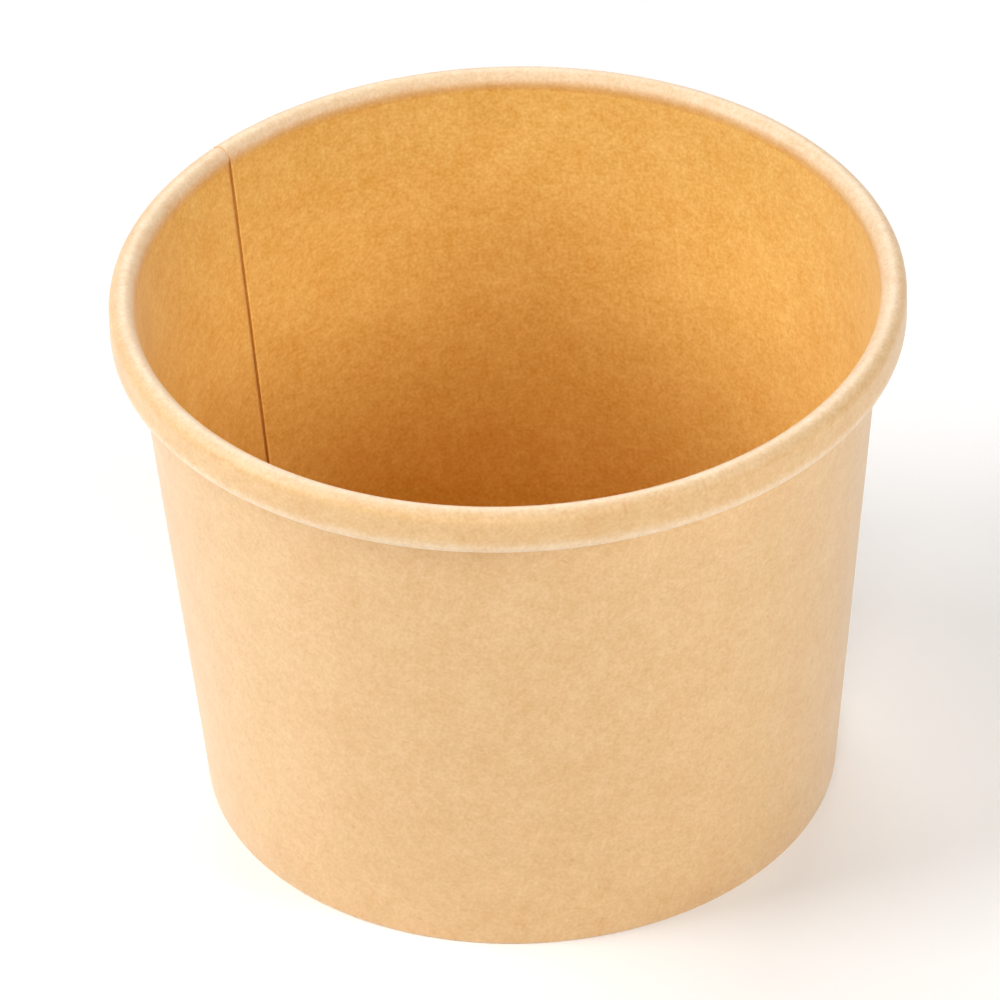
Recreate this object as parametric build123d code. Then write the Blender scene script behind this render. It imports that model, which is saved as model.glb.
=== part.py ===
from build123d import *
from math import acos, atan2, cos, degrees, hypot, pi, sin
import os

# Overall sizes of the tub, in millimetres.
# The foot's diameter is where the wall's outside, carried straight down, meets the table.
RIM_DIAMETER = 98.0
FOOT_DIAMETER = 79.8
HEIGHT = 72.2

# Coated board: the side wall is cut from one sheet and the base from a thinner one.
WALL_THICKNESS = 0.38
BASE_THICKNESS = 0.35
GLUE_GAP = 0.03

# Rolled rim: its section over all, and the board's end tucked up behind the rim's face.
RIM_WIDTH = 3.2
RIM_HEIGHT = 5.8
TUCK_LENGTH = 2.2
TUCK_CLEARANCE = 0.2

# Side seam at the back: the outer layer steps over the inner layer's cut edge and laps it.
SEAM_LAP = 9.0
SEAM_STEP = 3.0
SEAM_ANGLE = 90.0

# Foot: the base's skirt hangs between the wall and a hem turned up inside it.
BASE_HEIGHT = 6.0
BASE_BEND = 0.9
HEM_HEIGHT = 5.0
SKIRT_CLEARANCE = 0.25
FOOT_PRESS = 0.1

# Radii and centres that follow from the sizes above.
rim_radius = RIM_DIAMETER / 2
foot_radius = FOOT_DIAMETER / 2
crown_radius = RIM_WIDTH / 2
crown_r = rim_radius - crown_radius
crown_z = HEIGHT - crown_radius
fold_radius = BASE_THICKNESS / 2 + GLUE_GAP

# The wall leans outward so that it runs from the foot into the rim's crown without a kink.
reach = hypot(crown_r - foot_radius, crown_z)
taper = acos((crown_radius - WALL_THICKNESS) / reach) - atan2(crown_z, crown_r - foot_radius)


def ray(angle):
    """Unit direction in the section's plane, the angle counted from outward towards up."""
    return Vector(cos(angle), 0, sin(angle))


outward_angle = 0.0
inward_angle = pi - taper
inward = ray(inward_angle)
up_wall = ray(pi / 2 - taper)
wall_foot = Vector(foot_radius, 0, 0)


def carried_up(start, z):
    """Point carried along the wall's slope to a height above the table."""
    return start + up_wall * ((z - start.Z) / cos(taper))


def on_wall(depth, z):
    """Point at a depth inside the wall's outer face and a height above the table."""
    return carried_up(wall_foot + inward * depth, z)


# The rim's lower turn leaves room between the tucked board and both layers of the seam.
tuck_gap = WALL_THICKNESS + TUCK_CLEARANCE
rim_low = HEIGHT - RIM_HEIGHT
rim_room = (rim_radius - on_wall(0, rim_low).X) * cos(taper) - tuck_gap
turn_radius = rim_room / (1 + cos(taper) + sin(taper))

crown_centre = Vector(crown_r, 0, crown_z)
turn_centre = Vector(rim_radius - turn_radius, 0, rim_low + turn_radius)
fold_z = fold_radius + WALL_THICKNESS - FOOT_PRESS
fold_centre = on_wall(WALL_THICKNESS + fold_radius, fold_z)
tuck_top = turn_centre.Z + TUCK_LENGTH


def bend(centre, radius, start, end):
    """Arc of the board about a centre, between two directions."""
    middle = (start + end) / 2
    return ThreePointArc(
        centre + ray(start) * radius,
        centre + ray(middle) * radius,
        centre + ray(end) * radius,
    )


def board_line(depth):
    """Line of the side blank at a depth from its inner face, from the hem to the tucked end."""
    fold = bend(fold_centre, fold_radius + depth, inward_angle, 2 * pi - taper)
    crown = bend(crown_centre, crown_radius - depth, inward_angle, outward_angle)
    turn = bend(turn_centre, turn_radius - depth, outward_angle, inward_angle - 2 * pi)
    hem = Line(carried_up(fold @ 0, HEM_HEIGHT), fold @ 0)
    wall = Line(fold @ 1, crown @ 0)
    face = Line(crown @ 1, turn @ 0)
    tuck = Line(turn @ 1, carried_up(turn @ 1, tuck_top))
    return [hem, fold, wall, crown, face, turn, tuck]


def board_section(near, far):
    """Section of the side blank between two depths from its inner face."""
    near_line = board_line(near)
    far_line = board_line(far)
    hem_edge = Line(far_line[0] @ 0, near_line[0] @ 0)
    tuck_edge = Line(near_line[-1] @ 1, far_line[-1] @ 1)
    return make_face(near_line + [tuck_edge] + far_line + [hem_edge])


def turned(section, angle):
    """Section swung round the tub's axis to an angle."""
    return Rot(0, 0, angle) * section


# Side wall: one layer most of the way round, two where the seam laps, and a step between.
seam_radius = (rim_radius + foot_radius) / 2
lap_angle = degrees(SEAM_LAP / seam_radius)
step_angle = degrees(SEAM_STEP / seam_radius)
step_end = SEAM_ANGLE + step_angle
lap_start = SEAM_ANGLE - lap_angle

single = board_section(0, WALL_THICKNESS)
lapped = board_section(0, 2 * WALL_THICKNESS)
lifted = board_section(WALL_THICKNESS, 2 * WALL_THICKNESS)

round_wall = revolve(turned(single, step_end), Axis.Z, 360 - lap_angle - step_angle)
seam_lap = revolve(turned(lapped, lap_start), Axis.Z, lap_angle)
seam_step = loft([turned(lifted, SEAM_ANGLE), turned(single, step_end)], ruled=True)
side_wall = round_wall + seam_lap + seam_step

# The standing edge is pressed flat on the table all round, the lapped seam included.
side_wall = split(side_wall, bisect_by=Plane.XY, keep=Keep.TOP)

# Base: a flat disc with its edge turned down as a skirt along the wall's inside.
skirt_depth = WALL_THICKNESS + GLUE_GAP
skirt_low = fold_z + SKIRT_CLEARANCE
base_top = BASE_HEIGHT + BASE_THICKNESS
bend_centre = on_wall(skirt_depth + BASE_BEND, base_top - BASE_BEND)


def base_line(depth):
    """Line of the base at a depth from its upper face, from the axis to the skirt's edge."""
    corner = bend(bend_centre, BASE_BEND - depth, pi / 2, -taper)
    disc = Line((0, 0, base_top - depth), corner @ 0)
    skirt = Line(corner @ 1, on_wall(skirt_depth + depth, skirt_low))
    return [disc, corner, skirt]


upper_line = base_line(0)
lower_line = base_line(BASE_THICKNESS)
axis_edge = Line(lower_line[0] @ 0, upper_line[0] @ 0)
skirt_edge = Line(upper_line[-1] @ 1, lower_line[-1] @ 1)
base_disc = revolve(make_face(upper_line + [skirt_edge] + lower_line + [axis_edge]), Axis.Z)

# Each piece is written out under its own name.
os.makedirs("parts", exist_ok=True)
pieces = {"side_wall": side_wall, "base_disc": base_disc}
for name, piece in pieces.items():
    export_step(piece, f"parts/{name}.step")
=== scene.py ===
import math

import bpy
import numpy as np
from mathutils import Matrix, Vector


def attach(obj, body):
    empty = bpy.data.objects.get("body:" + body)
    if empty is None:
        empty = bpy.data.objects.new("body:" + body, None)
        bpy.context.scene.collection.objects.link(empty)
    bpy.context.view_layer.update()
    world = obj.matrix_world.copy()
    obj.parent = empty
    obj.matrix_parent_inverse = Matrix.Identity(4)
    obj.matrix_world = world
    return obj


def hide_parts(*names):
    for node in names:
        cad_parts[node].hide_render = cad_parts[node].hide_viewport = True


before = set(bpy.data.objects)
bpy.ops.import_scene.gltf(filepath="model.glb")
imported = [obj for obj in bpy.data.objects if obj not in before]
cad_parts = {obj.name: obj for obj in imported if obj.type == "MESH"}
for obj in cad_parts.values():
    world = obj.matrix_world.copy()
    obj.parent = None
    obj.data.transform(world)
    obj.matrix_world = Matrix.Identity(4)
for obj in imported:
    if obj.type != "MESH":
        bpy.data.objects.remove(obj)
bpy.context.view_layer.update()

# Sizes of the tub, in metres, as its solids have them.
MM = 0.001
RIM_RADIUS = 49.0 * MM
FOOT_RADIUS = 39.9 * MM
HEIGHT = 72.2 * MM
BOARD = 0.38 * MM
BASE_BOARD = 0.35 * MM
GLUE = 0.03 * MM
RIM_WIDTH = 3.2 * MM
RIM_HEIGHT = 5.8 * MM
TUCK_LENGTH = 2.2 * MM
TUCK_CLEARANCE = 0.2 * MM
SEAM_LAP = 9.0 * MM
SEAM_STEP = 3.0 * MM
SEAM_ANGLE = math.radians(90)
BASE_HEIGHT = 6.0 * MM
BASE_BEND = 0.9 * MM
HEM_HEIGHT = 5.0 * MM
SKIRT_CLEARANCE = 0.25 * MM
FOOT_PRESS = 0.1 * MM

# Marks that the making leaves on the board. The rim is pressed thinner at the seam and stands a little proud
# there, which fades within a few laps. The inside steps sharply beside the cut edge, and at the pressed foot
# the lap's layers lie a film apart. A crease lies below the curl, with a share of the nicks' painted shade,
# and the rim's crown has two short nicks, whose places are turns from the seam.
RIM_PRESS_SHARE = 0.4
RIM_EASE = 0.05 * MM
RIM_SWELL_SHARE = 3.0
INNER_STEP = 0.8 * MM
FOOT_FILM = 0.01 * MM
CURL_CREASE = 0.03 * MM
CURL_CREASE_WIDTH = 0.25 * MM
CURL_CREASE_DROP = 0.8 * MM
CREASE_SHADE_SHARE = 0.3
NICK_DEPTH = 0.04 * MM
NICK_WIDTH = 0.2 * MM
NICK_TURNS = np.radians([200.4, 212.6])

# What follows from those sizes: the rim's crown, the wall's lean and the foot's fold.
CROWN_RADIUS = RIM_WIDTH / 2
CROWN_CENTRE = np.array([RIM_RADIUS - CROWN_RADIUS, HEIGHT - CROWN_RADIUS])
FOLD_RADIUS = BASE_BOARD / 2 + GLUE
REACH = math.hypot(CROWN_CENTRE[0] - FOOT_RADIUS, CROWN_CENTRE[1])
TAPER = math.acos((CROWN_RADIUS - BOARD) / REACH) - math.atan2(
    CROWN_CENTRE[1], CROWN_CENTRE[0] - FOOT_RADIUS
)
INWARD_ANGLE = math.pi - TAPER
UP_WALL = np.array([math.sin(TAPER), math.cos(TAPER)])
INWARD = np.array([-math.cos(TAPER), math.sin(TAPER)])
SEAM_RADIUS = (RIM_RADIUS + FOOT_RADIUS) / 2
LAP_ANGLE = SEAM_LAP / SEAM_RADIUS
STEP_ANGLE = SEAM_STEP / SEAM_RADIUS
FULL_TURN = 2 * math.pi


def carried_up(start, height):
    """Point (radius, height) carried from start along the wall's slope to a height."""
    return start + UP_WALL * (height - start[1]) / math.cos(TAPER)


def on_wall(depth, height):
    """Point at a depth inside the wall's outer face and a height above the table."""
    return carried_up(np.array([FOOT_RADIUS, 0.0]) + INWARD * depth, height)


RIM_LOW = HEIGHT - RIM_HEIGHT
TURN_ROOM = (RIM_RADIUS - on_wall(0, RIM_LOW)[0]) * math.cos(TAPER) - BOARD - TUCK_CLEARANCE
TURN_RADIUS = TURN_ROOM / (1 + math.cos(TAPER) + math.sin(TAPER))
TURN_CENTRE = np.array([RIM_RADIUS - TURN_RADIUS, RIM_LOW + TURN_RADIUS])
FOLD_HEIGHT = FOLD_RADIUS + BOARD - FOOT_PRESS
FOLD_CENTRE = on_wall(BOARD + FOLD_RADIUS, FOLD_HEIGHT)

# Runs of the side blank's section, in order; a station is a run's number plus the share gone along it.
# The neck is the wall's last stretch, below the crown.
HEM, FOLD, WALL, NECK, CROWN, FACE, TURN, TUCK = range(8)
NECK_LENGTH = 1.5 * MM

# Where the marks fade in or out along the section: the stations at which that begins and ends.
RIM_PRESSED = (NECK + 0.4, CROWN + 0.2)
LINING_ENDS = (NECK + 0.35, CROWN + 0.22)
# The crown's and the lower turn's painted highlights: paler colour that stands in for light on the rim's
# bends.
CROWN_HIGHLIGHT_STARTS = (CROWN - 0.1, CROWN + 0.25)
CROWN_HIGHLIGHT_ENDS = (CROWN + 0.48, CROWN + 0.84)
TURN_HIGHLIGHT_STARTS = (FACE + 0.7, TURN + 0.08)
TURN_HIGHLIGHT_ENDS = (TURN + 0.3, TURN + 0.5)
NICKS_START = (CROWN + 0.58, CROWN + 0.7)
NICKS_END = (CROWN + 0.9, FACE + 0.12)

# How finely the pieces are divided: points along each run of a section, round the tub and across a nick,
# which reaches some widths to each side.
SIDE_RUN_POINTS = (7, 9, 14, 13, 25, 7, 15, 3)
BASE_RUN_POINTS = (24, 9, 6)
WRAP_POINTS = 430
SEAM_POINTS = 17
NICK_POINTS = 10
NICK_REACH_SHARE = 2.1
BASE_SPOKES = 240
SHARP_ANGLE = math.radians(40)

# Shifts that keep the flat layouts of the board's sides apart, so that no two have the same pattern.
FAR_SIDE_SHIFT = np.array([0.0, 1.0])
CUT_EDGE_SHIFT = np.array([0.0, 2.0])
BASE_SHIFT = np.array([2.0, 0.5])


def ray(angle):
    """Unit directions (outward, up) at angles counted from outward towards up."""
    return np.stack([np.cos(angle), np.sin(angle)], axis=-1)


def straight(start, end, across, count):
    """Points spaced evenly from start to end, with one direction through the board for all."""
    share = np.linspace(0, 1, count)[:, None]
    return start + (end - start) * share, np.repeat(across[None], count, axis=0)


def bend(centre, radius, start, end, side, count):
    """Arc of the board about a centre; its thickness lies outside the arc for side 1, inside for -1."""
    out = ray(np.linspace(start, end, count))
    return centre + radius * out, side * out


def joined(runs):
    """Runs laid end to end as one line, without the doubled points where they meet.

    Gives the points, the directions through the board and the stations.
    """
    points = np.concatenate([runs[0][0]] + [run[0][1:] for run in runs[1:]])
    across = np.concatenate([runs[0][1]] + [run[1][1:] for run in runs[1:]])
    shares = [number + np.linspace(0, 1, len(run[0])) for number, run in enumerate(runs)]
    return points, across, np.concatenate([shares[0]] + [share[1:] for share in shares[1:]])


def line_length(line):
    """Length along a line of points, from its start to each of them."""
    return np.concatenate([[0.0], np.cumsum(np.linalg.norm(np.diff(line, axis=0), axis=1))])


def smooth_step(low, high, value):
    """Rises from 0 at low to 1 at high, level at both ends."""
    share = np.clip((value - low) / (high - low), 0, 1)
    return share * share * (3 - 2 * share)


def hump(value, width):
    """Bell curve, 1 at 0, that has fallen to about a third at the width."""
    return np.exp(-((value / width) ** 2))


def wall_line():
    """Inner face of the side blank, from the hem's edge, round the foot, up the wall and round the rim."""
    outside = -INWARD
    fold_in = FOLD_CENTRE + FOLD_RADIUS * INWARD
    fold_out = FOLD_CENTRE - FOLD_RADIUS * INWARD
    crown_in = CROWN_CENTRE + CROWN_RADIUS * INWARD
    crown_out = CROWN_CENTRE + np.array([CROWN_RADIUS, 0.0])
    turn_out = TURN_CENTRE + np.array([TURN_RADIUS, 0.0])
    turn_in = TURN_CENTRE + TURN_RADIUS * INWARD
    tuck_end = carried_up(turn_in, TURN_CENTRE[1] + TUCK_LENGTH)
    neck = carried_up(fold_out, crown_in[1] - NECK_LENGTH)
    runs = [
        straight(carried_up(fold_in, HEM_HEIGHT), fold_in, INWARD, SIDE_RUN_POINTS[HEM]),
        bend(FOLD_CENTRE, FOLD_RADIUS, INWARD_ANGLE, FULL_TURN - TAPER, 1, SIDE_RUN_POINTS[FOLD]),
        straight(fold_out, neck, outside, SIDE_RUN_POINTS[WALL]),
        straight(neck, crown_in, outside, SIDE_RUN_POINTS[NECK]),
        bend(CROWN_CENTRE, CROWN_RADIUS, INWARD_ANGLE, 0.0, -1, SIDE_RUN_POINTS[CROWN]),
        straight(crown_out, turn_out, np.array([-1.0, 0.0]), SIDE_RUN_POINTS[FACE]),
        bend(TURN_CENTRE, TURN_RADIUS, 0.0, INWARD_ANGLE - FULL_TURN, -1, SIDE_RUN_POINTS[TURN]),
        straight(turn_in, tuck_end, outside, SIDE_RUN_POINTS[TUCK]),
    ]
    return joined(runs)


def wrap_angles():
    """Turns of the blank round the tub, from the seam's inner cut edge to its outer one.

    They are even once round, close together towards the step over the cut edge, and at each nick.
    """
    once = np.linspace(0, FULL_TURN - STEP_ANGLE, WRAP_POINTS)
    step = FULL_TURN - STEP_ANGLE * np.linspace(1, 0, SEAM_POINTS)[1:] ** 2
    lap = np.linspace(FULL_TURN, FULL_TURN + LAP_ANGLE, SEAM_POINTS)[1:]
    widths = np.linspace(-NICK_REACH_SHARE, NICK_REACH_SHARE, NICK_POINTS)
    nicks = NICK_TURNS[:, None] + NICK_WIDTH / RIM_RADIUS * widths
    return np.sort(np.concatenate([once, step, lap, nicks.ravel()]))


def rim_swell(wrap):
    """How far the rim stands proud round the seam: 1 along the lap, falling off on both sides."""
    turn = np.mod(wrap, FULL_TURN)
    after = 1 - smooth_step(LAP_ANGLE, RIM_SWELL_SHARE * LAP_ANGLE, turn)
    before = smooth_step(FULL_TURN - STEP_ANGLE, FULL_TURN, turn)
    return np.maximum(after, before)


def under_lap(wrap):
    """1 where the blank's first layer lies under the lap, falling to 0 beside it."""
    return 1 - smooth_step(LAP_ANGLE, LAP_ANGLE + STEP_ANGLE, wrap)


def lapped(wrap):
    """1 where the blank lies double at the seam, falling to 0 beside it."""
    over_first = smooth_step(FULL_TURN - STEP_ANGLE, FULL_TURN, wrap)
    return np.maximum(under_lap(wrap), over_first)


def nicked(station, wrap):
    """Depth share of the nicks: narrow grooves down the crown's outer side to where the face begins."""
    starts = smooth_step(*NICKS_START, station)
    ends = smooth_step(*NICKS_END, station)
    apart = (wrap[:, None] - NICK_TURNS) * RIM_RADIUS
    return (starts * (1 - ends))[:, None] * hump(apart, NICK_WIDTH).sum(axis=1)


def quads(a, b, c, d):
    """Four-cornered faces from four arrays of point numbers."""
    return np.stack([a, b, c, d], axis=-1).reshape(-1, 4)


def sheet_faces(rows, columns):
    """Faces of a closed sheet: a near grid, a far grid numbered after it and strips round the edges."""
    near = np.arange(rows * columns).reshape(rows, columns)
    far = near + rows * columns
    near_faces = quads(near[:-1, :-1], near[:-1, 1:], near[1:, 1:], near[1:, :-1])
    far_faces = quads(far[:-1, :-1], far[1:, :-1], far[1:, 1:], far[:-1, 1:])
    edge_faces = np.concatenate([
        quads(near[0, 1:], near[0, :-1], far[0, :-1], far[0, 1:]),
        quads(near[-1, :-1], near[-1, 1:], far[-1, 1:], far[-1, :-1]),
        quads(near[:-1, 0], near[1:, 0], far[1:, 0], far[:-1, 0]),
        quads(near[1:, -1], near[:-1, -1], far[:-1, -1], far[1:, -1]),
    ])
    return near_faces, far_faces, edge_faces


def signed_volume(points, faces):
    """Six times the volume between the faces and the origin, positive where they face outwards."""
    fans = [faces[:, [0, k, k + 1]] for k in range(1, faces.shape[1] - 1)]
    a, b, c = points[np.concatenate(fans)].transpose(1, 0, 2)
    return float(np.einsum("ij,ij->", a, np.cross(b, c)))


def board_piece(name, points, sides, marks, material):
    """Mesh object of a board piece.

    marks are named shares at each point: lined, of the inner lining's colour; creased, of the painted shade
    in a crease or nick; worn, of the painted highlight on the rim's crown and lower turn. Each side is its
    faces, the flat layout of the points that its pattern follows, and 1 where it is a raw cut edge, else 0.
    """
    volume = sum(signed_volume(points, faces) for faces, flat, raw in sides)
    order = slice(None, None, 1 if volume > 0 else -1)
    corners = [faces[:, order].ravel() for faces, flat, raw in sides]
    layout = [side[1][corner] for side, corner in zip(sides, corners)]
    sizes = np.concatenate([np.full(len(faces), faces.shape[1]) for faces, flat, raw in sides])
    cut = np.concatenate([np.full(len(faces), raw) for faces, flat, raw in sides])
    mesh = bpy.data.meshes.new(name)
    mesh.vertices.add(len(points))
    mesh.loops.add(int(sizes.sum()))
    mesh.polygons.add(len(sizes))
    mesh.vertices.foreach_set("co", points.astype(np.float32).ravel())
    mesh.loops.foreach_set("vertex_index", np.concatenate(corners).astype(np.int32))
    mesh.polygons.foreach_set("loop_start", (np.cumsum(sizes) - sizes).astype(np.int32))
    mesh.update(calc_edges=True)
    uv = mesh.uv_layers.new(name="blank")
    uv.uv.foreach_set("vector", np.concatenate(layout).astype(np.float32).ravel())
    for label, values in marks.items():
        attribute = mesh.attributes.new(label, "FLOAT", "POINT")
        attribute.data.foreach_set("value", values.astype(np.float32))
    edge = mesh.attributes.new("cut_edge", "FLOAT", "FACE")
    edge.data.foreach_set("value", cut.astype(np.float32))
    mesh.shade_smooth()
    mesh.set_sharp_from_angle(angle=SHARP_ANGLE)
    mesh.materials.append(material)
    mesh.validate()
    piece = bpy.data.objects.new(name, mesh)
    bpy.context.collection.objects.link(piece)
    return piece


def side_wall(material):
    """Side blank wrapped once round the tub and lapped.

    A point of the blank lies at the section's line plus its depth along the direction through the board,
    turned about the axis. The depth is 0 on the inner face and one board on the outer. The last stretch of
    the wrap steps out by one board, sharply inside and gently outside, so that it laps over the first cut
    edge. Round the rim both layers are pressed thinner.
    """
    line, across, station = wall_line()
    wrap = wrap_angles()
    length = line_length(line)
    on_rim = smooth_step(*RIM_PRESSED, station)[:, None]
    pressed = 1 - (1 - RIM_PRESS_SHARE) * on_rim
    thickness = BOARD * (1 - (1 - pressed) * lapped(wrap))
    crease_place = length[np.searchsorted(station, CROWN)] - CURL_CREASE_DROP
    crease = np.repeat(hump(length - crease_place, CURL_CREASE_WIDTH)[:, None], len(wrap), axis=1)
    nicks = nicked(station, wrap)
    dents = CURL_CREASE * crease + NICK_DEPTH * nicks
    to_seam = (FULL_TURN - wrap) * SEAM_RADIUS
    ease = RIM_EASE * on_rim * (1 - rim_swell(wrap))

    # At the pressed foot no face goes below its lowest height. The lap's outer face lies on the table, and
    # the faces that it covers lie above it, a film apart.
    faces = []
    for step_width, board, lowest in (
        (INNER_STEP, 0.0, FOOT_FILM),
        (SEAM_STEP, thickness, 2 * FOOT_FILM * under_lap(wrap)),
    ):
        lift = (BOARD + GLUE) * pressed * (1 - smooth_step(0, step_width, to_seam))
        depth = lift + board + dents
        radius = line[:, :1] + across[:, :1] * depth - ease
        height = np.maximum(line[:, 1:] + across[:, 1:] * depth, lowest)
        turn = SEAM_ANGLE - wrap
        faces.append(np.stack([radius * np.cos(turn), radius * np.sin(turn), height], axis=-1))
    points = np.concatenate([face.reshape(-1, 3) for face in faces])

    # Flat, the blank is a fan: an arc keeps its distance from the cone's tip, an angle shrinks by the lean.
    fan_radius = (FOOT_RADIUS / math.sin(TAPER) + length)[:, None]
    fan_angle = wrap * math.sin(TAPER)
    fan = np.stack([fan_radius * np.cos(fan_angle), fan_radius * np.sin(fan_angle)], axis=-1).reshape(-1, 2)
    near_faces, far_faces, edge_faces = sheet_faces(len(line), len(wrap))
    sides = [
        (near_faces, np.concatenate([fan, fan]), 0.0),
        (far_faces, np.concatenate([fan, fan]) + FAR_SIDE_SHIFT, 0.0),
        (edge_faces, np.concatenate([fan, fan + BOARD]) + CUT_EDGE_SHIFT, 1.0),
    ]
    inside = 1 - smooth_step(*LINING_ENDS, station)
    # Painted highlight: the crown's top and the lower turn are made paler in colour, standing in for light.
    crown = smooth_step(*CROWN_HIGHLIGHT_STARTS, station) * (1 - smooth_step(*CROWN_HIGHLIGHT_ENDS, station))
    low_turn = smooth_step(*TURN_HIGHLIGHT_STARTS, station) * (1 - smooth_step(*TURN_HIGHLIGHT_ENDS, station))
    near = {
        "lined": np.repeat(inside, len(wrap)),
        # Painted shade: the crease and the nicks are darkened in colour where their grooves would lie in
        # shade.
        "crease_shade": np.maximum(CREASE_SHADE_SHARE * crease, nicks).ravel(),
        "painted_highlight": np.repeat(np.maximum(crown, low_turn), len(wrap)),
    }
    marks = {label: np.concatenate([share, np.zeros(len(share))]) for label, share in near.items()}
    # Under the lap the outer face is lined along its first edge, so that the cut edge is one colour.
    marks["lined"][len(near["lined"]):] = np.outer(inside, wrap == wrap[0]).ravel()
    return board_piece("side_wall_board", points, sides, marks, material)


def base_line():
    """Upper face of the base, from the axis out to the bend and down the skirt."""
    skirt_depth = BOARD + GLUE
    top = BASE_HEIGHT + BASE_BOARD
    centre = on_wall(skirt_depth + BASE_BEND, top - BASE_BEND)
    skirt_low = FOLD_HEIGHT + SKIRT_CLEARANCE
    disc_points, bend_points, skirt_points = BASE_RUN_POINTS
    disc_end = centre + np.array([0.0, BASE_BEND])
    skirt_start = centre - BASE_BEND * INWARD
    runs = [
        straight(np.array([0.0, top]), disc_end, np.array([0.0, -1.0]), disc_points),
        bend(centre, BASE_BEND, math.pi / 2, -TAPER, -1, bend_points),
        straight(skirt_start, on_wall(skirt_depth, skirt_low), INWARD, skirt_points),
    ]
    return joined(runs)


def base_disc(material):
    """Base blank: its upper line, and the same line one board deeper, turned once round the axis.

    The point on the axis is a pole, which a fan of triangles joins to the first ring.
    """
    line, across = base_line()[:2]
    turn = np.linspace(0, FULL_TURN, BASE_SPOKES, endpoint=False)
    spokes = np.stack([np.cos(turn), np.sin(turn)], axis=-1)
    rings = []
    for thickness in (0.0, BASE_BOARD):
        section = (line + across * thickness)[1:]
        level = np.broadcast_to(section[:, None, 1:], (len(section), BASE_SPOKES, 1))
        rings.append(np.concatenate([section[:, None, :1] * spokes, level], axis=-1).reshape(-1, 3))
    poles = np.array([[0.0, 0.0, line[0, 1]], [0.0, 0.0, line[0, 1] - BASE_BOARD]])
    points = np.concatenate(rings + [poles])

    upper = np.arange(len(rings[0])).reshape(-1, BASE_SPOKES)
    lower = upper + upper.size
    upper_next, lower_next = np.roll(upper, -1, axis=1), np.roll(lower, -1, axis=1)
    pole = np.full(BASE_SPOKES, 2 * upper.size)
    upper_fan = np.stack([upper[0], upper_next[0], pole], axis=-1)
    lower_fan = np.stack([lower_next[0], lower[0], pole + 1], axis=-1)
    upper_faces = quads(upper[1:], upper_next[1:], upper_next[:-1], upper[:-1])
    lower_faces = quads(lower[:-1], lower_next[:-1], lower_next[1:], lower[1:])
    edge_faces = quads(lower[-1], lower_next[-1], upper_next[-1], upper[-1])

    # Flat, the blank is round: a point keeps its direction, and its distance is counted along the line.
    flat_rings = (line_length(line)[1:, None, None] * spokes).reshape(-1, 2)
    flat = np.concatenate([flat_rings, flat_rings, np.zeros((2, 2))]) + BASE_SHIFT
    under = flat + FAR_SIDE_SHIFT
    edge = np.concatenate([flat_rings, flat_rings + BASE_BOARD, np.zeros((2, 2))])
    edge = edge + BASE_SHIFT + CUT_EDGE_SHIFT
    sides = [
        (upper_faces, flat, 0.0),
        (upper_fan, flat, 0.0),
        (lower_faces, under, 0.0),
        (lower_fan, under, 0.0),
        (edge_faces, edge, 1.0),
    ]
    lined = np.concatenate([np.ones(upper.size), np.zeros(upper.size), [1.0, 0.0]])
    marks = {"lined": lined, "crease_shade": np.zeros(len(points)), "painted_highlight": np.zeros(len(points))}
    return board_piece("base_disc_board", points, sides, marks, material)


class Nodes:
    """Short way to place nodes in a tree and wire them."""

    def __init__(self, tree):
        self.tree = tree

    def add(self, kind, inputs=None, **settings):
        """New node of a kind with its settings, and with its inputs set or wired."""
        node = self.tree.nodes.new(kind)
        for key, value in settings.items():
            setattr(node, key, value)
        for key, value in (inputs or {}).items():
            self.set(node.inputs[key], value)
        return node

    def set(self, socket, value):
        """Wires an input to another socket, or gives it a value."""
        if isinstance(value, bpy.types.NodeSocket):
            self.tree.links.new(value, socket)
        else:
            socket.default_value = value

    def math(self, operation, a, b=0.0):
        """Result of one operation on one or two values."""
        return self.add("ShaderNodeMath", {0: a, 1: b}, operation=operation).outputs[0]

    def total(self, *values):
        """Sum of values."""
        result = values[0]
        for value in values[1:]:
            result = self.math("ADD", result, value)
        return result

    def product(self, *values):
        """Product of values."""
        result = values[0]
        for value in values[1:]:
            result = self.math("MULTIPLY", result, value)
        return result

    def between(self, value, low, high, to_low=0.0, to_high=1.0):
        """Goes smoothly from to_low at low to to_high at high."""
        limits = {"From Min": low, "From Max": high, "To Min": to_low, "To Max": to_high}
        node = self.add("ShaderNodeMapRange", {"Value": value, **limits}, interpolation_type="SMOOTHSTEP")
        return node.outputs["Result"]

    def noise(self, place, size, shift):
        """Noise around 0 with grains of a size, read at a place moved by a shift."""
        moved = self.add("ShaderNodeVectorMath", {0: place, 1: shift}, operation="ADD").outputs[0]
        settings = {"Vector": moved, "Scale": 1 / size, "Detail": 1.0}
        node = self.add("ShaderNodeTexNoise", settings, noise_dimensions="2D")
        return self.math("SUBTRACT", node.outputs[0], 0.5)

    def mix(self, factor, a, b, blend="MIX"):
        """Colour a with colour b blended in by the factor."""
        node = self.add("ShaderNodeMix", {0: factor, 6: a, 7: b}, data_type="RGBA", blend_type=blend)
        return node.outputs[2]

    def tinted(self, factor, colour, tint):
        """Colour multiplied by a tint where the factor is 1, and left alone where it is 0."""
        return self.mix(factor, colour, tint, "MULTIPLY")


def new_group(name, inputs, outputs):
    """Empty node group with named sockets; returns it, its nodes, and its inner input and output nodes."""
    tree = bpy.data.node_groups.new(name, "ShaderNodeTree")
    for label, kind in inputs:
        tree.interface.new_socket(name=label, in_out="INPUT", socket_type=kind)
    for label, kind in outputs:
        tree.interface.new_socket(name=label, in_out="OUTPUT", socket_type=kind)
    nodes = Nodes(tree)
    return tree, nodes, nodes.add("NodeGroupInput"), nodes.add("NodeGroupOutput")


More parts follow.
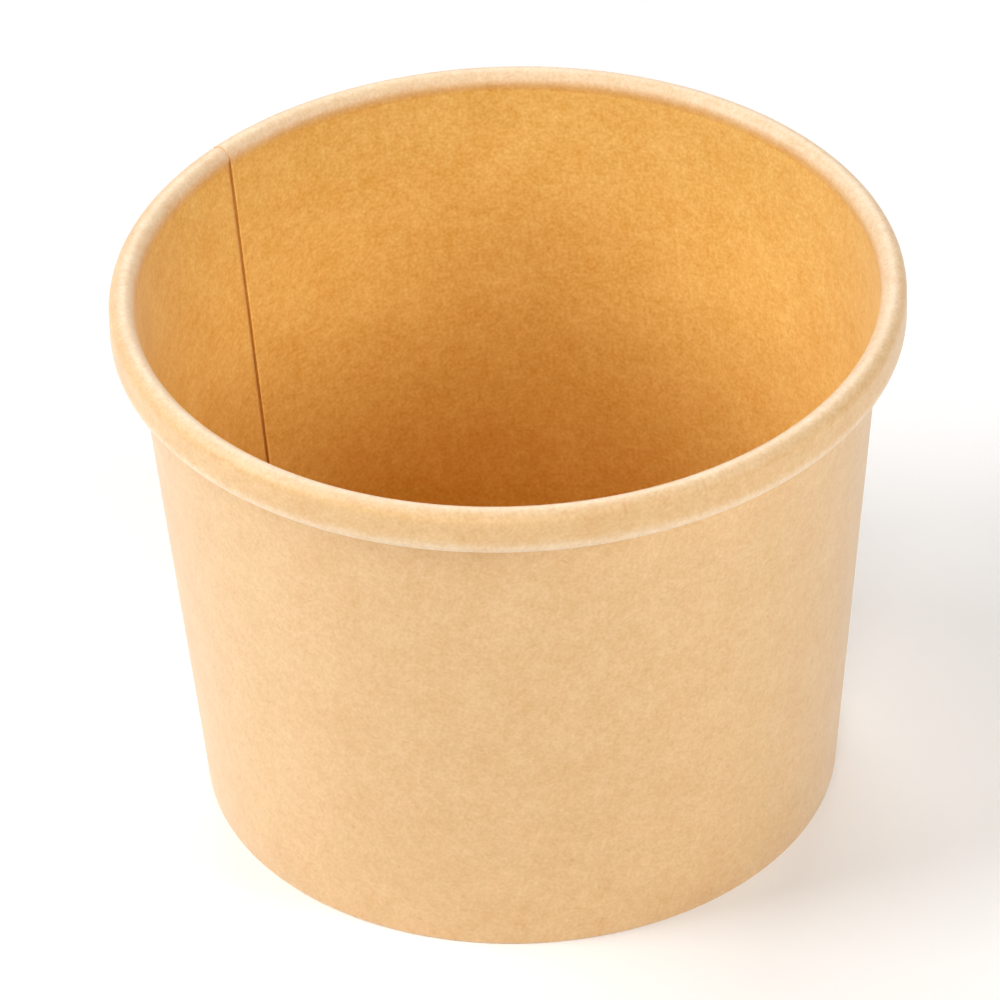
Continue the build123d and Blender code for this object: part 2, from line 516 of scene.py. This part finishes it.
# Unevenness of kraft pulp: each kind's size and the place on the noise where it is read, its share in the
# tone, and how far the drift of hue goes to both sides.
PULP_KINDS = {
    "clouds": (6.0 * MM, (0.31, 0.17, 0)),
    "flocs": (1.3 * MM, (0.73, 0.41, 0)),
    "grain": (0.45 * MM, (0.11, 0.59, 0)),
    "drift": (4.0 * MM, (0.47, 0.83, 0)),
}
TONE_SHARES = {"clouds": 0.32, "flocs": 0.45, "grain": 0.6}
DRIFT_REACH = 0.2


def pulp_group():
    """Tone of kraft pulp: wide clouds, flocs a millimetre across, a fine grain and a slow drift of hue."""
    tree, n, given, out = new_group(
        "pulp",
        [("Place", "NodeSocketVector")],
        [("Tone", "NodeSocketFloat"), ("Hue", "NodeSocketFloat"), ("Tooth", "NodeSocketFloat")],
    )
    place = given.outputs["Place"]
    kinds = {kind: n.noise(place, size, shift) for kind, (size, shift) in PULP_KINDS.items()}
    tone = n.total(*(n.product(kinds[kind], share) for kind, share in TONE_SHARES.items()))
    n.set(out.inputs["Tone"], tone)
    n.set(out.inputs["Hue"], n.between(kinds["drift"], -DRIFT_REACH, DRIFT_REACH))
    n.set(out.inputs["Tooth"], n.total(kinds["flocs"], kinds["grain"]))
    return tree


# Fibres on the board: the net's cell, a fibre's length and width, and the share of cells that have one.
FIBRE_KINDS = {
    "dark": {"Cell": 3.4 * MM, "Length": 1.5 * MM, "Width": 0.20 * MM, "Kept": 0.22},
    "specks": {"Cell": 2.9 * MM, "Length": 0.8 * MM, "Width": 0.34 * MM, "Kept": 0.20},
    "pale": {"Cell": 2.6 * MM, "Length": 1.5 * MM, "Width": 0.24 * MM, "Kept": 0.4},
}
# A fibre's directions spread over an angle. Its sides soften between two shares of its width from the
# middle, and its ends between two shares of its length.
FIBRE_SPREAD = 2.0
FIBRE_SIDE_SHARES = (0.25, 0.75)
FIBRE_END_SHARES = (0.2, 0.5)


def fibre_group():
    """Scattered fibres, at most one in each cell of an uneven net.

    A place is measured from its cell's centre and turned by the cell's own angle. The fibre is where the
    distance across, less a bend that grows with the square of the distance along, is under its width.
    """
    tree, n, given, out = new_group(
        "fibres",
        [(label, "NodeSocketFloat") for label in ("Cell", "Length", "Width", "Kept")]
        + [("Place", "NodeSocketVector")],
        [("Mask", "NodeSocketFloat")],
    )
    place, length, width = (given.outputs[label] for label in ("Place", "Length", "Width"))
    scale = n.math("DIVIDE", 1.0, given.outputs["Cell"])
    cell = n.add("ShaderNodeTexVoronoi", {"Vector": place, "Scale": scale}, voronoi_dimensions="2D")
    chance = n.add("ShaderNodeSeparateColor", {0: cell.outputs["Color"]}).outputs
    away = n.add("ShaderNodeVectorMath", {0: place, 1: cell.outputs["Position"]}, operation="SUBTRACT")
    angle = n.product(n.math("SUBTRACT", chance[0], 0.5), FIBRE_SPREAD)
    turned = n.add("ShaderNodeVectorRotate", {0: away.outputs[0], "Angle": angle}, rotation_type="Z_AXIS")
    axes = n.add("ShaderNodeSeparateXYZ", {0: turned.outputs[0]}).outputs
    along = axes[1]
    curl = n.product(n.math("SUBTRACT", chance[1], 0.5), n.math("DIVIDE", n.product(along, along), length))
    off = n.math("ABSOLUTE", n.math("SUBTRACT", axes[0], curl))
    sides = [n.product(width, share) for share in FIBRE_SIDE_SHARES]
    line = n.between(off, *sides, 1.0, 0.0)
    tips = [n.product(length, share) for share in FIBRE_END_SHARES]
    ends = n.between(n.math("ABSOLUTE", along), *tips, 1.0, 0.0)
    dropped = n.math("SUBTRACT", 1.0, given.outputs["Kept"])
    strength = n.add("ShaderNodeMapRange", {"Value": chance[2], "From Min": dropped}).outputs[0]
    n.set(out.inputs["Mask"], n.product(line, ends, strength))
    return tree


PULP = pulp_group()
FIBRES = fibre_group()


def placed(n, group, inputs):
    """Outputs of a node group placed in a material with its own values."""
    node = n.add("ShaderNodeGroup", node_tree=group)
    for label, value in inputs.items():
        n.set(node.inputs[label], value)
    return node.outputs


# Colours of the kraft board, the tints that multiply them, and each kind of fibre's strength and tint.
OUTER_COLOUR = (0.76, 0.475, 0.212, 1)
LINING_COLOUR = (0.85, 0.515, 0.136, 1)
WARM_TINT = (1.0, 0.985, 0.97, 1)
COOL_TINT = (1.0, 1.01, 1.0, 1)
DARK_TINT = (0.66, 0.55, 0.42, 1)
PALE_TINT = (1.10, 1.16, 1.24, 1)
# Painted shade in the crease below the curl and in the nicks.
CREASE_SHADE_TINT = (0.92, 0.84, 0.74, 1)
# Painted highlight on the lining beside the seam's cut edge.
EDGE_HIGHLIGHT_TINT = (1.12, 1.2, 1.4, 1)
# Painted highlight on the rim's crown and lower turn.
PAINTED_HIGHLIGHT_TINT = (1.1, 1.27, 1.75, 1)
# The raw cut edge's own darker colour, darkened further by painted shade of the seam's gap.
RAW_EDGE_AND_SHADE_TINT = (0.78, 0.64, 0.42, 1)
FIBRE_TINTS = {"dark": (0.32, DARK_TINT), "specks": (0.25, DARK_TINT), "pale": (0.3, PALE_TINT)}

# Values on the outer side, then on the lining: how far the pulp's tone changes red, how many times as far it
# changes green and blue, how much of a raw edge's tint shows, which is its own darker colour with painted
# shade on top, the roughness and the coat.
RED_TONES = (0.27, 0.33)
GREEN_TO_RED = (1.8, 2.2)
BLUE_TO_RED = (3.2, 4.8)
RAW_EDGE_AND_SHADE_SHARES = (0.2, 1.0)
ROUGHNESS = (0.45, 0.4)
COAT_WEIGHTS = (0.5, 0.0)

# The lining's painted highlight beside the seam's cut edge fades between two distances from that edge. The
# pulp's tooth, which has a share of the pale fibres in it, roughens the finish a little and shows as a faint
# relief.
EDGE_HIGHLIGHT_REACH = (0.15 * MM, 0.4 * MM)
ROUGH_TOOTH_SHARE = 0.03
TOOTH_DEPTH = 0.03 * MM
TOOTH_STRENGTH = 0.25
PALE_TOOTH_SHARE = 0.5

# Satin finish, the same on both sides.
SATIN = {"Specular IOR Level": 0.3, "Coat Roughness": 0.5, "Sheen Weight": 0.25, "Sheen Roughness": 0.5}


def kraft_board(name):
    """Kraft board: pulp tone and fibres on the flat blank's layout, a lined inner side and raw cut edges.

    Creases and nicks get painted shade. The rim's crown and lower turn, and the lining beside the seam's cut
    edge, get a painted highlight. Raw cut edges are darker, partly their own colour and partly painted
    shade.
    """
    material = bpy.data.materials.new(name)
    material.use_nodes = True
    material.node_tree.nodes.clear()
    n = Nodes(material.node_tree)
    place = n.add("ShaderNodeUVMap", uv_map="blank").outputs["UV"]
    from_edge = n.add("ShaderNodeSeparateXYZ", {0: place}).outputs["Y"]
    lined = n.add("ShaderNodeAttribute", attribute_name="lined").outputs["Fac"]
    cut = n.add("ShaderNodeAttribute", attribute_name="cut_edge").outputs["Fac"]
    crease_shade = n.add("ShaderNodeAttribute", attribute_name="crease_shade").outputs["Fac"]
    painted_highlight = n.add("ShaderNodeAttribute", attribute_name="painted_highlight").outputs["Fac"]
    pulp = placed(n, PULP, {"Place": place})
    fibres = {
        kind: placed(n, FIBRES, {"Place": place, **sizes})["Mask"] for kind, sizes in FIBRE_KINDS.items()
    }

    side = n.mix(lined, OUTER_COLOUR, LINING_COLOUR)
    warm = n.tinted(1.0, side, WARM_TINT)
    cool = n.tinted(1.0, side, COOL_TINT)
    base = n.mix(pulp["Hue"], warm, cool)
    # Dense spots are redder as well as darker, so the tone acts most on blue and least on red.
    red = n.product(pulp["Tone"], n.between(lined, 0.0, 1.0, *RED_TONES))
    green = n.product(red, n.between(lined, 0.0, 1.0, *GREEN_TO_RED))
    blue = n.product(red, n.between(lined, 0.0, 1.0, *BLUE_TO_RED))
    density = {i: n.total(1.0, part) for i, part in enumerate((red, green, blue))}
    colour = n.tinted(1.0, base, n.add("ShaderNodeCombineColor", density).outputs[0])
    for kind, (strength, tint) in FIBRE_TINTS.items():
        colour = n.tinted(n.product(fibres[kind], strength), colour, tint)
    # Painted highlight: the lining beside the seam's cut edge is made paler, standing in for light on its
    # edge.
    edge_highlight = n.product(lined, n.between(from_edge, *EDGE_HIGHLIGHT_REACH, 1.0, 0.0))
    # Raw cut edges: their own darker colour plus painted shade, fullest on the lining's side.
    raw_edge_and_shade = n.product(cut, n.between(lined, 0.0, 1.0, *RAW_EDGE_AND_SHADE_SHARES))
    # Painted shade in creases and nicks, painted highlights beside the cut edge and on the rim's bends, and
    # the raw edge's own colour with painted shade.
    marks = (crease_shade, CREASE_SHADE_TINT), (edge_highlight, EDGE_HIGHLIGHT_TINT), (painted_highlight, PAINTED_HIGHLIGHT_TINT), (raw_edge_and_shade, RAW_EDGE_AND_SHADE_TINT)
    for mask, tint in marks:
        colour = n.tinted(mask, colour, tint)

    tooth = n.total(pulp["Tooth"], n.product(fibres["pale"], PALE_TOOTH_SHARE))
    relief = {"Strength": TOOTH_STRENGTH, "Distance": TOOTH_DEPTH, "Height": tooth}
    bump = n.add("ShaderNodeBump", relief).outputs[0]
    uneven = n.product(pulp["Tooth"], ROUGH_TOOTH_SHARE)
    rough = n.total(n.between(lined, 0.0, 1.0, *ROUGHNESS), uneven)
    coat = n.between(lined, 0.0, 1.0, *COAT_WEIGHTS)
    finish = {"Base Color": colour, "Roughness": rough, "Normal": bump, "Coat Weight": coat, **SATIN}
    shader = n.add("ShaderNodeBsdfPrincipled", finish)
    n.add("ShaderNodeOutputMaterial", {"Surface": shader.outputs[0]})
    return material


# The photograph's view, with the tub turned so that its seam lies behind on the left.
SEAM_IN_VIEW = math.radians(138.1)
VIEW_TURN = Matrix.Rotation(SEAM_ANGLE - SEAM_IN_VIEW, 3, "Z")
VIEW_HEIGHT = math.radians(36.106)
VIEW_ROLL = math.radians(-1.933)
VIEW_DISTANCE = 1.100
VIEW_TARGET = Vector((-1.78 * MM, 0, 39.049 * MM))
FOCAL_SHARE = 8.8181
SENSOR_WIDTH = 36.0
NEAREST_SEEN = 0.05
FARTHEST_SEEN = 20.0

# Soft lamps: the place to the right, away and up in that view, the size, and the power in watts.
LAMPS = {
    "left_lamp": ((-0.6, 0.0, 0.7), 0.6, 4.3),
    "left_low_lamp": ((-0.81, -0.2, 0.52), 0.4, 3.3),
    "right_lamp": ((0.8, -0.4, 0.52), 0.4, 4.6),
    "front_lamp": ((0.0, -0.9, 0.56), 0.35, 2.9),
    "front_low_lamp": ((0.0, -1.0, 0.33), 0.6, 0.5),
    "back_lamp": ((0.0, 0.9, 0.85), 0.7, 5.6),
}

# Floor: half its width, its colour and roughness, its lift towards white where it is seen, and the distances
# from the tub between which it fades to white for the camera.
WHITE = (1, 1, 1, 1)
FLOOR_HALF = 3.0
FLOOR_COLOUR = (0.92, 0.92, 0.92, 1)
FLOOR_ROUGHNESS = 0.9
FLOOR_LIFT = 0.1
FLOOR_FADE = (0.2, 0.7)


def in_view(right, away, up):
    """Point or direction given as right, away and up in the photograph, turned into the tub's frame."""
    return VIEW_TURN @ Vector((right, away, up))


def photo_camera():
    """Camera at the photograph's distance, height and slight roll, with its focal length."""
    data = bpy.data.cameras.new("photo_camera")
    data.sensor_fit = "HORIZONTAL"
    data.sensor_width = SENSOR_WIDTH
    data.lens = SENSOR_WIDTH * FOCAL_SHARE
    data.clip_start = NEAREST_SEEN
    data.clip_end = FARTHEST_SEEN
    camera = bpy.data.objects.new("photo_camera", data)
    bpy.context.collection.objects.link(camera)
    back = Vector((0, -math.cos(VIEW_HEIGHT), math.sin(VIEW_HEIGHT)))
    level = Vector((1, 0, 0))
    above = back.cross(level)
    right = math.cos(VIEW_ROLL) * level + math.sin(VIEW_ROLL) * above
    over = math.cos(VIEW_ROLL) * above - math.sin(VIEW_ROLL) * level
    axes = [VIEW_TURN @ axis for axis in (right, over, back)]
    place = VIEW_TURN @ (VIEW_TARGET + back * VIEW_DISTANCE)
    camera.matrix_world = Matrix.Translation(place) @ Matrix(axes).transposed().to_4x4()
    bpy.context.scene.camera = camera


def soft_lamp(name, place, size, power):
    """Square soft lamp at a place in the photograph's view, facing the tub's middle."""
    data = bpy.data.lights.new(name, "AREA")
    data.shape = "SQUARE"
    data.size = size
    data.energy = power
    lamp = bpy.data.objects.new(name, data)
    bpy.context.collection.objects.link(lamp)
    lamp.location = in_view(*place)
    lamp.rotation_euler = (VIEW_TARGET - lamp.location).to_track_quat("-Z", "Y").to_euler()


def seen_directly(n):
    """1 for rays from the camera, in reflections and through clear things, 0 for rays that only light."""
    path = n.add("ShaderNodeLightPath").outputs
    mirrored = n.math("MAXIMUM", path["Is Glossy Ray"], path["Is Transmission Ray"])
    return n.math("MAXIMUM", path["Is Camera Ray"], mirrored)


def surround():
    """White surround that the camera and reflections see, and that gives no diffuse light."""
    world = bpy.data.worlds.new("surround")
    world.use_nodes = True
    world.node_tree.nodes.clear()
    n = Nodes(world.node_tree)
    white = n.add("ShaderNodeBackground", {"Color": WHITE, "Strength": seen_directly(n)})
    n.add("ShaderNodeOutputWorld", {"Surface": white.outputs[0]})
    world.cycles.sampling_method = "NONE"
    bpy.context.scene.world = world


def pale_floor():
    """Wide pale floor that keeps the tub's shadow and is lifted to white where it is seen.

    Far from the tub, past the lamps' light, it fades to white for the camera.
    """
    material = bpy.data.materials.new("pale_floor")
    material.use_nodes = True
    material.node_tree.nodes.clear()
    n = Nodes(material.node_tree)
    finish = {"Base Color": FLOOR_COLOUR, "Roughness": FLOOR_ROUGHNESS, "Emission Color": WHITE}
    pale = n.add("ShaderNodeBsdfPrincipled", finish)
    place = n.add("ShaderNodeTexCoord").outputs["Object"]
    away = n.add("ShaderNodeVectorMath", {0: place}, operation="LENGTH").outputs["Value"]
    camera_ray = n.add("ShaderNodeLightPath").outputs["Is Camera Ray"]
    fade = n.product(camera_ray, n.between(away, *FLOOR_FADE))
    n.set(pale.inputs["Emission Strength"], n.total(n.product(seen_directly(n), FLOOR_LIFT), fade))
    n.add("ShaderNodeOutputMaterial", {"Surface": pale.outputs[0]})
    material.cycles.emission_sampling = "NONE"
    corners = [(x * FLOOR_HALF, y * FLOOR_HALF, 0) for x, y in ((-1, -1), (1, -1), (1, 1), (-1, 1))]
    mesh = bpy.data.meshes.new("floor")
    mesh.from_pydata(corners, [], [(0, 1, 2, 3)])
    mesh.materials.append(material)
    floor = bpy.data.objects.new("floor", mesh)
    bpy.context.collection.objects.link(floor)


# The tub itself: each board piece stands for its solid.
kraft = kraft_board("kraft_paper")
for piece, node in ((side_wall(kraft), "side_wall"), (base_disc(kraft), "base_disc")):
    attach(piece, "root")
    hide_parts(node)

# Light and view.
surround()
pale_floor()
for name, (place, size, power) in LAMPS.items():
    soft_lamp(name, place, size, power)
photo_camera()
bpy.context.scene.view_settings.view_transform = "Standard"
